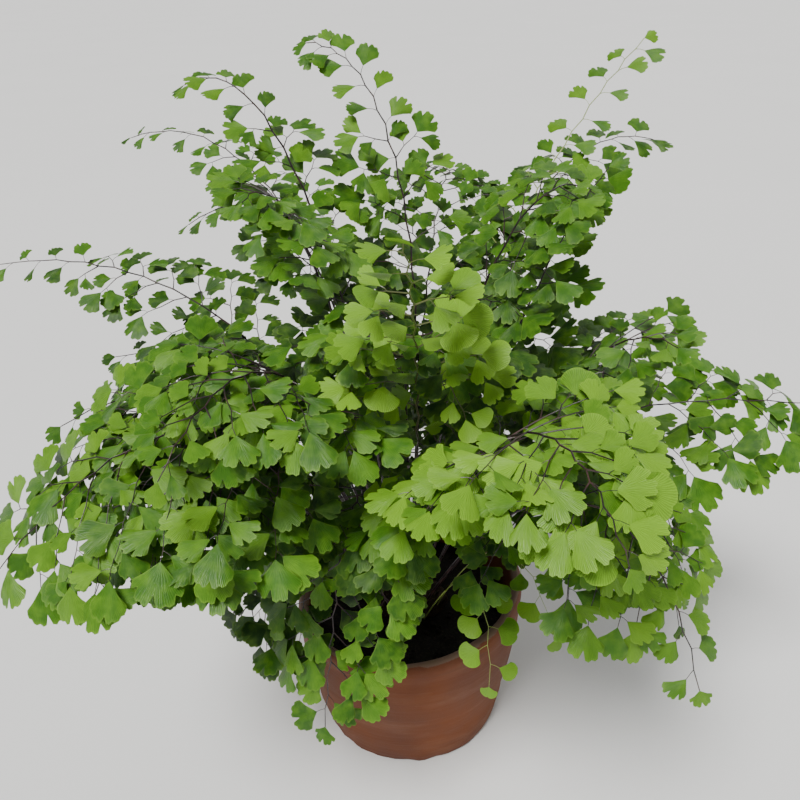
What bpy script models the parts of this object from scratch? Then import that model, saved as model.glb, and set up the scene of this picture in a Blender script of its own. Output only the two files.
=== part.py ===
"""A maidenhair fern in a plain hand-thrown clay pot.

Metres, +Z up. The origin is the centre of the pot's underside, on the surface that the pot stands on.
The fern is an assembly: a pot, the soil in it, the roots and the creeping rhizome, and the fronds.
Each frond is a wiry stalk and a blade, whose leafy side branches (pinnae) stand alternately left and right.
"""

from dataclasses import dataclass
from math import cos, pi, radians, sin, sqrt

import bmesh
import bpy
from mathutils import Vector
from mathutils.bvhtree import BVHTree

GAP = 0.0003

POT_HEIGHT = 0.080
RIM_RADIUS = 0.060
FOOT_RADIUS = 0.050
WALL = 0.005
FLOOR = 0.007
RIM_TILT = 0.004
POT_SEGMENTS = 40
DRAIN_RADIUS = 0.006
DRAIN_CIRCLE = 0.022
DRAINS = 3

SOIL_TOP = 0.069
SOIL_SEGMENTS = 28
WELL_RADIUS = 0.016
WELL_TOE_RADIUS = 0.009
WELL_DEPTH = 0.045
ROOT_SEGMENTS = 12

RHIZOME_LENGTH = 0.044
RHIZOME_WIDTH = 0.034
RHIZOME_HEIGHT = 0.010

STALK_RADIUS = 0.0008
STALK_TIP_RADIUS = 0.0006
STALK_SIDES = 5
STALK_STATIONS = 7
RACHIS_WIDTH = 0.0012
RACHIS_TIP_WIDTH = 0.0009
PINNA_THICKNESS = 0.0008
PINNA_SLENDERNESS = 0.50
PINNA_LEAN = radians(32)
PINNA_DROOP = 0.22
PINNA_OUTLINE = ((0.14, 0.10), (0.55, 1.0), (1.0, 0.34))
LEAFLET_LENGTH = 0.010
LEAFLET_WIDTH = 0.009
FLOOR_CLEARANCE = 0.003

# The ways a pinna is tried until one is clear of its neighbours: its share of full length, then its tilt in degrees.
SIZES = (1.0, 0.85, 0.7, 0.55, 0.4)
TILTS = (0, -14, 14, -28, 28, -42, 42)


@dataclass(frozen=True)
class Frond:
    """One frond's arch: where it springs from, the point that its crest leans towards, and its tip.

    Each is a direction about the pot's axis in degrees from +X, and a reach and a height in metres.
    bare is the share of its length that is stalk, width the blade's full width, pinnae the side branches.
    """

    foot: tuple[float, float]
    crest: tuple[float, float, float]
    tip: tuple[float, float, float]
    bare: float
    width: float
    pinnae: int


FRONDS = (
    # Long fronds that arch out to the left and the back left.
    Frond((150, 0.012), (150, 0.065, 0.270), (165, 0.205, 0.245), 0.40, 0.075, 10),
    Frond((130, 0.006), (125, 0.025, 0.325), (150, 0.120, 0.260), 0.34, 0.090, 11),
    Frond((110, 0.014), (110, 0.100, 0.325), (135, 0.215, 0.285), 0.45, 0.080, 9),
    Frond((170, 0.005), (165, 0.030, 0.350), (160, 0.090, 0.330), 0.36, 0.075, 11),
    # Tall fronds at the back and the right.
    Frond((80, 0.009), (60, 0.045, 0.330), (120, 0.070, 0.340), 0.24, 0.070, 13),
    Frond((50, 0.010), (55, 0.040, 0.250), (40, 0.160, 0.335), 0.40, 0.085, 10),
    Frond((60, 0.015), (65, 0.115, 0.315), (45, 0.215, 0.275), 0.45, 0.080, 9),
    Frond((350, 0.007), (350, 0.050, 0.250), (355, 0.080, 0.295), 0.40, 0.090, 9),
    # Fronds that arch and hang to the right.
    Frond((20, 0.013), (15, 0.055, 0.210), (355, 0.205, 0.190), 0.35, 0.110, 11),
    Frond((285, 0.010), (285, 0.120, 0.310), (290, 0.170, 0.230), 0.35, 0.110, 10),
    Frond((305, 0.014), (305, 0.120, 0.285), (310, 0.165, 0.130), 0.40, 0.085, 11),
    Frond((345, 0.014), (350, 0.105, 0.245), (340, 0.140, 0.075), 0.45, 0.090, 9),
    # Fronds that arch and hang to the front and the left.
    Frond((255, 0.013), (255, 0.072, 0.300), (249, 0.112, 0.058), 0.40, 0.090, 12),
    Frond((235, 0.012), (235, 0.085, 0.305), (215, 0.185, 0.180), 0.35, 0.120, 11),
    Frond((225, 0.015), (225, 0.110, 0.280), (220, 0.155, 0.165), 0.40, 0.110, 9),
    Frond((175, 0.014), (160, 0.055, 0.225), (165, 0.150, 0.200), 0.32, 0.080, 10),
    Frond((195, 0.011), (195, 0.050, 0.255), (195, 0.150, 0.205), 0.40, 0.100, 9),
    Frond((280, 0.005), (280, 0.050, 0.235), (270, 0.130, 0.310), 0.40, 0.090, 9),
    Frond((270, 0.014), (275, 0.055, 0.335), (262, 0.105, 0.230), 0.40, 0.100, 9),
    Frond((245, 0.008), (240, 0.070, 0.310), (238, 0.145, 0.235), 0.38, 0.100, 9),
    # Short, young and hidden fronds round the crown.
    Frond((215, 0.018), (225, 0.075, 0.180), (215, 0.100, 0.100), 0.40, 0.080, 7),
    Frond((295, 0.018), (300, 0.075, 0.185), (290, 0.095, 0.085), 0.50, 0.040, 6),
    Frond((325, 0.018), (330, 0.060, 0.175), (315, 0.095, 0.090), 0.50, 0.040, 6),
    Frond((95, 0.013), (95, 0.070, 0.180), (100, 0.130, 0.125), 0.35, 0.090, 8),
    Frond((85, 0.016), (80, 0.080, 0.290), (75, 0.120, 0.270), 0.28, 0.095, 12),
    Frond((335, 0.003), (325, 0.040, 0.345), (345, 0.085, 0.285), 0.42, 0.090, 9),
    Frond((200, 0.006), (205, 0.040, 0.350), (220, 0.080, 0.290), 0.42, 0.085, 9),
    Frond((330, 0.009), (345, 0.075, 0.250), (320, 0.120, 0.255), 0.40, 0.100, 9),
)


def clear_scene() -> None:
    """Remove every object, so that the file can be run again."""
    for item in list(bpy.data.objects):
        bpy.data.objects.remove(item, do_unlink=True)


def make_material(name, colour, roughness) -> bpy.types.Material:
    """Make a plain finish with the given colour and roughness."""
    material = bpy.data.materials.new(name)
    material.use_nodes = True
    shader = material.node_tree.nodes["Principled BSDF"]
    shader.inputs["Base Color"].default_value = (*colour, 1.0)
    shader.inputs["Roughness"].default_value = roughness
    shader.inputs["Metallic"].default_value = 0.0
    material.diffuse_color = (*colour, 1.0)
    return material


def make_object(name, shape, material, smooth=True) -> bpy.types.Object:
    """Turn a finished bmesh into a named object with its material."""
    bmesh.ops.recalc_face_normals(shape, faces=shape.faces)
    mesh = bpy.data.meshes.new(name)
    shape.to_mesh(mesh)
    shape.free()
    if smooth:
        mesh.shade_smooth()
        mesh.set_sharp_from_angle(angle=radians(40))
    mesh.materials.append(material)
    item = bpy.data.objects.new(name, mesh)
    bpy.context.collection.objects.link(item)
    return item


def turn(profile, segments) -> bmesh.types.BMesh:
    """Spin a profile of (radius, height) points, whose two ends lie on the axis, once round +Z."""
    shape = bmesh.new()
    corners = [shape.verts.new((radius, 0, height)) for radius, height in profile]
    edges = [shape.edges.new(pair) for pair in zip(corners, corners[1:])]
    bmesh.ops.spin(
        shape,
        geom=corners + edges,
        cent=(0, 0, 0),
        axis=(0, 0, 1),
        angle=2 * pi,
        steps=segments,
        use_merge=True,
    )
    bmesh.ops.remove_doubles(shape, verts=shape.verts, dist=0.00001)
    return shape


def place(direction, reach, height) -> Vector:
    """Give the point at a direction in degrees, a reach from the pot's axis and a height."""
    return Vector((reach * cos(radians(direction)), reach * sin(radians(direction)), height))


def outer_radius(height) -> float:
    """Give the pot's outer radius at a height: a wall that swells a little as it flares."""
    share = height / POT_HEIGHT
    return FOOT_RADIUS + (RIM_RADIUS - FOOT_RADIUS) * sin(share * pi / 2) ** 1.3


def make_pot(material) -> bpy.types.Object:
    """Turn the clay pot, tip its rim as a hand-thrown rim tips, and cut its drainage holes."""
    outside = [(0, 0), (FOOT_RADIUS - 0.003, 0), (FOOT_RADIUS - 0.0005, 0.002)]
    outside += [(outer_radius(share * POT_HEIGHT), share * POT_HEIGHT) for share in (0.12, 0.35, 0.6, 0.82)]
    lip = [
        (RIM_RADIUS - 0.0008, POT_HEIGHT - 0.003),
        (RIM_RADIUS - 0.0020, POT_HEIGHT),
        (RIM_RADIUS - WALL, POT_HEIGHT - 0.0005),
    ]
    inside = [(outer_radius(share * POT_HEIGHT) - WALL, share * POT_HEIGHT) for share in (0.82, 0.6, 0.35)]
    inside += [(FOOT_RADIUS - WALL, FLOOR + 0.004), (FOOT_RADIUS - WALL - 0.004, FLOOR), (0, FLOOR)]
    shape = turn(outside + lip + inside, POT_SEGMENTS)
    for corner in shape.verts:
        rise = max(0.0, corner.co.z / POT_HEIGHT - 0.5) * 2
        corner.co.z += RIM_TILT * rise * corner.co.x / RIM_RADIUS
    pot = make_object("pot", shape, material)
    for index in range(DRAINS):
        spot = place(90 + index * 360 / DRAINS, DRAIN_CIRCLE, FLOOR / 2)
        bpy.ops.mesh.primitive_cylinder_add(vertices=16, radius=DRAIN_RADIUS, depth=FLOOR * 3, location=spot)
        cutter = bpy.context.object
        cutter.name = f"drain_cutter_{index + 1}"
        cutter.hide_render = True
        cutter.display_type = "WIRE"
        hole = pot.modifiers.new(f"drain_{index + 1}", "BOOLEAN")
        hole.operation = "DIFFERENCE"
        hole.solver = "EXACT"
        hole.object = cutter
    return pot


def make_soil(material) -> bpy.types.Object:
    """Fill the pot with soil, whose top sinks towards the wall and whose middle holds the well of roots."""
    skin = WALL + GAP + 0.0006
    outside = [(0, FLOOR + GAP), (FOOT_RADIUS - skin - 0.005, FLOOR + GAP)]
    outside += [(FOOT_RADIUS - skin - 0.0008, FLOOR + 0.0048)]
    outside += [(outer_radius(share * POT_HEIGHT) - skin, share * POT_HEIGHT) for share in (0.35, 0.6, 0.8)]
    top = [
        (outer_radius(0.84 * POT_HEIGHT) - skin - 0.002, SOIL_TOP - 0.002),
        (RHIZOME_LENGTH * 0.65, SOIL_TOP),
        (WELL_RADIUS, SOIL_TOP),
    ]
    well = [(WELL_TOE_RADIUS, SOIL_TOP - WELL_DEPTH), (0, SOIL_TOP - WELL_DEPTH)]
    shape = turn(outside + top + well, SOIL_SEGMENTS)
    for corner in shape.verts:
        reach = corner.co.xy.length
        if corner.co.z > SOIL_TOP - 0.003 and reach > RHIZOME_LENGTH * 0.75:
            corner.co.z -= 0.0009 * (1 + sin(corner.co.x * 190) * cos(corner.co.y * 230))
    return make_object("potting_soil", shape, material)


def make_roots(material) -> bpy.types.Object:
    """Make the mass of fine roots, which tapers down the soil's well from the rhizome's underside."""
    top = SOIL_TOP - GAP
    toe = SOIL_TOP - WELL_DEPTH + GAP * 2
    profile = [(0, toe), (WELL_TOE_RADIUS - 0.002, toe)]
    for share in (0.25, 0.5, 0.75, 1.0):
        radius = WELL_TOE_RADIUS + (WELL_RADIUS - WELL_TOE_RADIUS) * share
        profile.append((radius - 0.0012, toe + (top - toe) * share))
    profile.append((0, top))
    shape = turn(profile, ROOT_SEGMENTS)
    for corner in shape.verts:
        squeeze = 0.94 + 0.04 * sin(corner.co.z * 420 + corner.co.x * 300)
        corner.co.x *= squeeze
        corner.co.y *= squeeze
    return make_object("roots", shape, material)


def rhizome_top(x, y) -> float:
    """Give the height of the rhizome's domed top, or of the soil beyond it, at a spot."""
    inside = 1 - (2 * x / RHIZOME_LENGTH) ** 2 - (2 * y / RHIZOME_WIDTH) ** 2
    return SOIL_TOP + GAP + RHIZOME_HEIGHT * sqrt(max(0.0, inside))


def make_rhizome(material) -> bpy.types.Object:
    """Make the low creeping rhizome that lies on the soil, as half of a flattened ball."""
    shape = bmesh.new()
    bmesh.ops.create_uvsphere(shape, u_segments=16, v_segments=8, radius=1.0)
    bmesh.ops.bisect_plane(
        shape,
        geom=shape.verts[:] + shape.edges[:] + shape.faces[:],
        dist=0.00001,
        plane_co=(0, 0, 0),
        plane_no=(0, 0, 1),
        clear_inner=True,
    )
    rim = [edge for edge in shape.edges if edge.is_boundary]
    bmesh.ops.contextual_create(shape, geom=rim)
    for corner in shape.verts:
        corner.co.x *= RHIZOME_LENGTH / 2
        corner.co.y *= RHIZOME_WIDTH / 2
        corner.co.z = SOIL_TOP + GAP + corner.co.z * RHIZOME_HEIGHT
    return make_object("rhizome", shape, material)


class Arch:
    """A frond's centreline: a parabola from its foot to its tip, pulled towards its crest."""

    def __init__(self, frond):
        x, y, _ = place(frond.foot[0], frond.foot[1], 0)
        self.foot = Vector((x, y, rhizome_top(x, y) + GAP * 2))
        self.crest = place(*frond.crest)
        self.tip = place(*frond.tip)

    def point(self, share) -> Vector:
        """Give the point at a share of the way from foot to tip."""
        rest = 1 - share
        return self.foot * rest**2 + self.crest * (2 * share * rest) + self.tip * share**2

    def axes(self, share) -> tuple[Vector, Vector, Vector]:
        """Give the way along the arch, its level side and the upper side of its blade."""
        along = ((self.crest - self.foot) * (1 - share) + (self.tip - self.crest) * share).normalized()
        outward = Vector((self.tip.x - self.foot.x, self.tip.y - self.foot.y, 0))
        side = Vector((-outward.y, outward.x, 0))
        side = (side - along * side.dot(along)).normalized()
        return along, side, side.cross(along) * -1


def ring(centre, right, up, width, height) -> list[Vector]:
    """Give four corners round a centre, in order."""
    signs = ((-1, -1), (-1, 1), (1, 1), (1, -1))
    return [centre + right * (width / 2 * a) + up * (height / 2 * b) for a, b in signs]


def skin_rings(rings) -> list[tuple[int, ...]]:
    """List the faces that join a run of equal rings and close its two ends."""
    count = len(rings[0])
    faces = [tuple(range(count)), tuple(reversed(range(len(rings) * count - count, len(rings) * count)))]
    for start in range(0, (len(rings) - 1) * count, count):
        for index in range(count):
            after = (index + 1) % count
            faces.append((start + index, start + after, start + count + after, start + count + index))
    return faces


def tree_of(rings) -> BVHTree:
    """Make a search tree of the closed shape that a run of rings bounds."""
    return BVHTree.FromPolygons([tuple(corner) for row in rings for corner in row], skin_rings(rings))


def shape_of(rings) -> bmesh.types.BMesh:
    """Make the closed shape that a run of rings bounds."""
    shape = bmesh.new()
    corners = [shape.verts.new(corner) for row in rings for corner in row]
    for face in skin_rings(rings):
        shape.faces.new([corners[index] for index in face])
    shape.faces.ensure_lookup_table()
    return shape


def stalk_rings(arch, end) -> list[list[Vector]]:
    """Lay round rings along the bare part of an arch."""
    rings = []
    turns = [2 * pi * step / STALK_SIDES for step in range(STALK_SIDES)]
    for index in range(STALK_STATIONS):
        way = index / (STALK_STATIONS - 1)
        _, side, up = arch.axes(end * way)
        radius = STALK_RADIUS + (STALK_TIP_RADIUS - STALK_RADIUS) * way
        rings.append([arch.point(end * way) + (side * cos(turned) + up * sin(turned)) * radius for turned in turns])
    return rings


def rachis_rings(arch, frond) -> list[list[Vector]]:
    """Lay square rings along the leafy part of an arch, with one pinna's room between every two.

    The last two rings make the leaflet at the frond's end.
    """
    rings = []
    start = frond.bare + GAP * 1.5 / (arch.tip - arch.foot).length
    end = 1 - LEAFLET_LENGTH / (arch.tip - arch.foot).length
    for index in range(frond.pinnae + 1):
        way = index / frond.pinnae
        share = start + (end - start) * way
        _, side, up = arch.axes(share)
        width = RACHIS_WIDTH + (RACHIS_TIP_WIDTH - RACHIS_WIDTH) * way
        rings.append(ring(arch.point(share), side, up, width, width))
    along, side, up = arch.axes(end)
    for reach, width in ((0.6, LEAFLET_WIDTH), (1.0, LEAFLET_WIDTH * 0.5)):
        rings.append(ring(arch.point(end) + along * (LEAFLET_LENGTH * reach), side, up, width, PINNA_THICKNESS))
    return rings


def pinna_rings(root, axes, length, tilt, more=0.0) -> list[list[Vector]]:
    """Lay the rings of one pinna: a neck, a wide middle and a blunt tip, drooping as it goes out.

    axes are the way along the arch, the side that the pinna stands on and the blade's upper side.
    more is added all round, to test for room.
    """
    along, side, up = axes
    level = side * cos(tilt) + up * sin(tilt)
    out = level * cos(PINNA_LEAN) + along * sin(PINNA_LEAN)
    forward = along * cos(PINNA_LEAN) - level * sin(PINNA_LEAN)
    top = out.cross(forward).normalized()
    if top.dot(up) < 0:
        top = -top
    rings = []
    for share, width in PINNA_OUTLINE:
        centre = root + out * (length * share + more)
        centre.z -= PINNA_DROOP * length * share**2
        broad = length * PINNA_SLENDERNESS * width + more
        rings.append(ring(centre, forward, top, broad, PINNA_THICKNESS + more))
    return rings


def clears(rings, obstacles) -> bool:
    """Say whether a shape stays off the floor and touches none of the obstacles."""
    if min(corner.z for row in rings for corner in row) < FLOOR_CLEARANCE:
        return False
    shape = tree_of(rings)
    return not any(shape.overlap(other) for other in obstacles)


def blade_profile(way) -> float:
    """Give a pinna's share of the longest one's length at a share of the way up the blade."""
    return min(1.0, 0.7 + 2 * way) * (1 - way) ** 0.8 + 0.10


class Blade:
    """A frond's leafy part: a rachis whose side faces grow pinnae, alternately left and right."""

    def __init__(self, number, frond, arch):
        self.name = f"blade_{number:02d}"
        self.frond = frond
        self.arch = arch
        self.rings = rachis_rings(arch, frond)
        self.shape = shape_of(self.rings)
        self.faces = list(self.shape.faces)
        self.rachis_tree = tree_of(self.rings)
        self.pinna_trees = [tree_of(self.rings[-2:])]

    def trees(self) -> list[BVHTree]:
        """List all of this blade's search trees, for the other blades to keep clear of."""
        return [self.rachis_tree, *self.pinna_trees]

    def grow(self, index, others) -> None:
        """Grow the pinna of one place on the rachis at the largest size and least tilt that fit."""
        frond = self.frond
        start, end = self.rings[index], self.rings[index + 1]
        hand = -1 if index % 2 else 1
        low, high = (0, 1) if hand < 0 else (3, 2)
        base = [start[low], start[high], end[high], end[low]]
        root = sum(base, Vector()) / 4
        way = (index + 0.5) / frond.pinnae
        along, side, up = self.arch.axes(frond.bare + (1 - frond.bare) * way)
        axes = (along, side * hand, up)
        full = frond.width / 2 * blade_profile(way)
        obstacles = others + self.pinna_trees
        for size in SIZES:
            for tilt in TILTS:
                room = [base, *pinna_rings(root, axes, full * size, radians(tilt), GAP * 2)]
                if clears(room, obstacles):
                    self.extrude(index, hand, pinna_rings(root, axes, full * size, radians(tilt)))
                    self.pinna_trees.append(tree_of(room))
                    return

    def extrude(self, index, hand, rings) -> None:
        """Extrude one side face of the rachis, left or right by hand, through a pinna's rings."""
        face = self.faces[2 + index * 4 + (0 if hand < 0 else 2)]
        order = (0, 1, 2, 3) if hand < 0 else (1, 0, 3, 2)
        for row in rings:
            face = bmesh.ops.extrude_discrete_faces(self.shape, faces=[face])["faces"][0]
            for corner, target in zip(face.verts, order):
                corner.co = row[target]


def make_fronds(stalk_material, blade_material, obstacles) -> None:
    """Make each frond's stalk and blade, all clear of one another and of the obstacles."""
    blades = []
    for number, frond in enumerate(FRONDS, 1):
        arch = Arch(frond)
        rings = stalk_rings(arch, frond.bare)
        make_object(f"stalk_{number:02d}", shape_of(rings), stalk_material)
        obstacles.append(tree_of(rings))
        blades.append(Blade(number, frond, arch))
    for index in reversed(range(max(frond.pinnae for frond in FRONDS))):
        for blade in blades:
            if index < blade.frond.pinnae:
                others = [tree for other in blades if other is not blade for tree in other.trees()]
                blade.grow(index, obstacles + others)
    for blade in blades:
        make_object(blade.name, blade.shape, blade_material, smooth=False)


def tree_of_object(item) -> BVHTree:
    """Make a search tree of a finished object as its modifiers leave it."""
    return BVHTree.FromObject(item, bpy.context.evaluated_depsgraph_get())


def main() -> None:
    """Model every piece in its place."""
    clear_scene()
    pot = make_pot(make_material("damp_clay", (0.136, 0.048, 0.020), 0.85))
    soil = make_soil(make_material("dark_soil", (0.014, 0.011, 0.008), 0.95))
    make_roots(make_material("fine_roots", (0.190, 0.120, 0.065), 0.9))
    rhizome = make_rhizome(make_material("scaly_rhizome", (0.045, 0.026, 0.015), 0.8))
    bpy.context.view_layer.update()
    obstacles = [tree_of_object(item) for item in (pot, soil, rhizome)]
    stalk_material = make_material("black_stalk", (0.016, 0.009, 0.010), 0.3)
    blade_material = make_material("fern_green", (0.150, 0.330, 0.045), 0.45)
    make_fronds(stalk_material, blade_material, obstacles)


if __name__ == "__main__":
    main()
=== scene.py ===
"""A potted maidenhair fern: its looks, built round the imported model.

Each frond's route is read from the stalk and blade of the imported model. Along it the script grows a wiry
zigzag rachis, its side branches and hair-thin stalklets, and fan-shaped leaflets on every stalklet.
The pot, the soil and the rhizome get finer shapes of the same size and place.
"""

import logging
from dataclasses import dataclass, field
from enum import Enum
from math import cos, pi, radians, sin, sqrt
from random import Random
from typing import Optional

import bmesh
import bpy
from mathutils import Matrix, Vector, noise


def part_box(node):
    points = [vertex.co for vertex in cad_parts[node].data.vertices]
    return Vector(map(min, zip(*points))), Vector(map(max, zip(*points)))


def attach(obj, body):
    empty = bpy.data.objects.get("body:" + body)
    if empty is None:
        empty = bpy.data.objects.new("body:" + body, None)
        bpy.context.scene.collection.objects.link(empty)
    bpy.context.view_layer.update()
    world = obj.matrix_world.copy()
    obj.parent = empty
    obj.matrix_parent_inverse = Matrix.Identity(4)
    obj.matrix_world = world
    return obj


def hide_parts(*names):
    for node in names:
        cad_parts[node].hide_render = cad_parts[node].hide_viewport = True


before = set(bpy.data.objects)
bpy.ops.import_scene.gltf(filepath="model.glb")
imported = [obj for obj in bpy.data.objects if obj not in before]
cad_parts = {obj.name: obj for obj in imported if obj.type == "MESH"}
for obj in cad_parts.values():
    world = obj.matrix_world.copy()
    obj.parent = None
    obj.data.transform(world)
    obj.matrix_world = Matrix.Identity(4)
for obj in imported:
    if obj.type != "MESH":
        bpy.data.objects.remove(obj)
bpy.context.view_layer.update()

LOG = logging.getLogger("fern")
UP = Vector((0.0, 0.0, 1.0))
BODY = "root"

Place = tuple[float, float, float]
Colour = tuple[float, float, float, float]
Ring = tuple[float, float]


# ---------------------------------------------------------------- modelling helpers


def deselect_all() -> None:
    """Leave edit mode and deselect every object, so that an operator acts only on what is picked next."""
    if bpy.context.object and bpy.context.object.mode != "OBJECT":
        bpy.ops.object.mode_set(mode="OBJECT")
    bpy.ops.object.select_all(action="DESELECT")


def pick(item: bpy.types.Object) -> None:
    """Select one object alone and make it the active one.

    Args:
        item: The object to work on.
    """
    deselect_all()
    item.select_set(True)
    bpy.context.view_layer.objects.active = item


def join_all(items: list[bpy.types.Object], name: str) -> bpy.types.Object:
    """Join objects into the first of them.

    Args:
        items: The objects, whose origins all lie at the world's origin.
        name: The name of the joined piece.

    Returns:
        The joined piece.
    """
    deselect_all()
    for item in items:
        item.select_set(True)
    bpy.context.view_layer.objects.active = items[0]
    bpy.ops.object.join()
    items[0].name = name
    items[0].data.name = name
    return items[0]


def apply_all_modifiers(item: bpy.types.Object) -> None:
    """Apply an object's modifiers in order.

    Args:
        item: The object whose modifiers are applied.
    """
    pick(item)
    for modifier in list(item.modifiers):
        bpy.ops.object.modifier_apply(modifier=modifier.name)


def smooth(item: bpy.types.Object, degrees: float) -> None:
    """Shade an object smooth, with edges sharper than an angle kept sharp.

    Args:
        item: The object to shade.
        degrees: The sharpest angle that is still shaded smooth.
    """
    pick(item)
    bpy.ops.object.shade_smooth_by_angle(angle=radians(degrees))


def raise_rings(radius: float, level: float, rings: list[Ring]) -> None:
    """Extrude the selected ring or disc, in edit mode, through a row of rings about the vertical.

    Args:
        radius: The radius of what is selected.
        level: Its height.
        rings: The radius and the height of each new ring, in order.
    """
    for new_radius, new_level in rings:
        bpy.ops.mesh.extrude_region_move(TRANSFORM_OT_translate={"value": (0, 0, new_level - level)})
        bpy.ops.transform.resize(value=(new_radius / radius, new_radius / radius, 1))
        radius, level = new_radius, new_level


def mark(mesh: bpy.types.Mesh, name: str, values: list[float]) -> None:
    """Give every corner of a mesh a number that its finish reads.

    Args:
        mesh: The mesh.
        name: The attribute's name.
        values: One number for each corner.
    """
    mesh.attributes.new(name, "FLOAT", "POINT").data.foreach_set("value", values)


def hand_over(piece: bpy.types.Object, nodes: tuple[str, ...]) -> None:
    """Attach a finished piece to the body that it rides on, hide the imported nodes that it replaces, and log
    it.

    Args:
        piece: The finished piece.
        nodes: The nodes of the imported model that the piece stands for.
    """
    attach(piece, BODY)
    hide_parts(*nodes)
    LOG.info("%s: %d faces for %s", piece.name, len(piece.data.polygons), ", ".join(nodes))


# ---------------------------------------------------------------- shader helpers


class Tree:
    """A material's or a group's node tree, with short ways to add and join nodes."""

    def __init__(self, tree: bpy.types.NodeTree) -> None:
        """Hold the tree.

        Args:
            tree: The node tree to build in.
        """
        self.tree = tree

    def add(self, kind: str, **settings: object) -> bpy.types.Node:
        """Add a node.

        Args:
            kind: The node's type.
            **settings: Properties of the node.

        Returns:
            The new node.
        """
        node = self.tree.nodes.new(kind)
        for name, value in settings.items():
            setattr(node, name, value)
        return node

    def feed(self, node: bpy.types.Node, **values: object) -> None:
        """Set or link a node's inputs by name, with underscores for the spaces in a name.

        Args:
            node: The node whose inputs are fed.
            **values: A number, a colour, or an output socket of another node, for each input.
        """
        for name, value in values.items():
            self.put(node.inputs[name.replace("_", " ")], value)

    def put(self, socket: bpy.types.NodeSocket, value: object) -> None:
        """Set one input or link it.

        Args:
            socket: The input.
            value: A number, a colour or an output socket.
        """
        if isinstance(value, bpy.types.NodeSocket):
            self.tree.links.new(value, socket)
        else:
            socket.default_value = value

    def noise(self, vector: bpy.types.NodeSocket, scale: float, detail: float = 3.0) -> bpy.types.NodeSocket:
        """Add a noise pattern.

        Args:
            vector: The coordinates to read.
            scale: How many spots there are in a unit of length.
            detail: How many finer layers the pattern has.

        Returns:
            The pattern's value, from 0 to 1.
        """
        node = self.add("ShaderNodeTexNoise")
        self.feed(node, Vector=vector, Scale=scale, Detail=detail, Roughness=0.55)
        return node.outputs["Fac"]

    def span(
        self, value: object, low: float, high: float, start: float = 0.0, end: float = 1.0
    ) -> bpy.types.NodeSocket:
        """Map a value from one range to another, held at the ends.

        Args:
            value: The value to map.
            low: The value that gives start.
            high: The value that gives end.
            start: The result at low.
            end: The result at high.

        Returns:
            The mapped value.
        """
        node = self.add("ShaderNodeMapRange")
        self.put(node.inputs["Value"], value)
        for name, number in zip(("From Min", "From Max", "To Min", "To Max"), (low, high, start, end)):
            node.inputs[name].default_value = number
        return node.outputs["Result"]

    def sum(self, kind: str, first: object, second: object) -> bpy.types.NodeSocket:
        """Do a sum on two values.

        Args:
            kind: The sum's name, such as MULTIPLY or ADD.
            first: The first value.
            second: The second value.

        Returns:
            The result.
        """
        node = self.add("ShaderNodeMath", operation=kind)
        self.put(node.inputs[0], first)
        self.put(node.inputs[1], second)
        return node.outputs[0]

    def blend(self, share: object, first: object, second: object, kind: str = "MIX") -> bpy.types.NodeSocket:
        """Blend two colours.

        Args:
            share: How much of the second colour there is.
            first: The first colour.
            second: The second colour.
            kind: The way of blending.

        Returns:
            The blended colour.
        """
        node = self.add("ShaderNodeMix", data_type="RGBA", blend_type=kind)
        self.put(node.inputs["Factor"], share)
        self.put(node.inputs[6], first)
        self.put(node.inputs[7], second)
        return node.outputs[2]

    def bump(
        self, height: bpy.types.NodeSocket, distance: float, strength: float = 1.0
    ) -> bpy.types.NodeSocket:
        """Turn a height pattern into a bumpy normal.

        Args:
            height: The pattern.
            distance: How high the pattern stands, in metres.
            strength: How much of it shows.

        Returns:
            The normal.
        """
        node = self.add("ShaderNodeBump")
        self.feed(node, Height=height, Distance=distance, Strength=strength)
        return node.outputs["Normal"]


def new_material(name: str) -> tuple[bpy.types.Material, Tree, bpy.types.Node]:
    """Start a material.

    Args:
        name: The material's name.

    Returns:
        The material, its tree and its Principled shader.
    """
    material = bpy.data.materials.new(name)
    material.use_nodes = True
    return material, Tree(material.node_tree), material.node_tree.nodes["Principled BSDF"]


def new_group(
    name: str, inputs: dict[str, float], outputs: tuple[str, ...]
) -> tuple[bpy.types.NodeTree, Tree, bpy.types.Node, bpy.types.Node]:
    """Start a shader node group that reads a Vector and named numbers.

    Args:
        name: The group's name.
        inputs: The named numbers and their defaults.
        outputs: The names of the values that the group puts out.

    Returns:
        The group, its tree, its input node and its output node.
    """
    group = bpy.data.node_groups.new(name, "ShaderNodeTree")
    group.interface.new_socket(name="Vector", in_out="INPUT", socket_type="NodeSocketVector")
    for label, value in inputs.items():
        socket = group.interface.new_socket(name=label, in_out="INPUT", socket_type="NodeSocketFloat")
        socket.default_value = value
    for label in outputs:
        group.interface.new_socket(name=label, in_out="OUTPUT", socket_type="NodeSocketFloat")
    tree = Tree(group)
    return group, tree, tree.add("NodeGroupInput"), tree.add("NodeGroupOutput")


def grit_group() -> bpy.types.NodeTree:
    """Make the shared effect of fine grit over broad patches, for clay, soil and bark.

    Returns:
        The group, with outputs Grit and Patches from 0 to 1.
    """
    scales = {"Grit Scale": 900.0, "Patch Scale": 30.0}
    group, tree, given, result = new_group("grit_and_patches", scales, ("Grit", "Patches"))
    place = given.outputs["Vector"]
    for label, scale, detail, roughness in (
        ("Grit", "Grit Scale", 4.0, 0.65),
        ("Patches", "Patch Scale", 3.0, 0.5),
    ):
        layer = tree.add("ShaderNodeTexNoise")
        tree.feed(layer, Vector=place, Scale=given.outputs[scale], Detail=detail, Roughness=roughness)
        tree.put(result.inputs[label], layer.outputs["Fac"])
    return group


# ---------------------------------------------------------------- finishes


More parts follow.
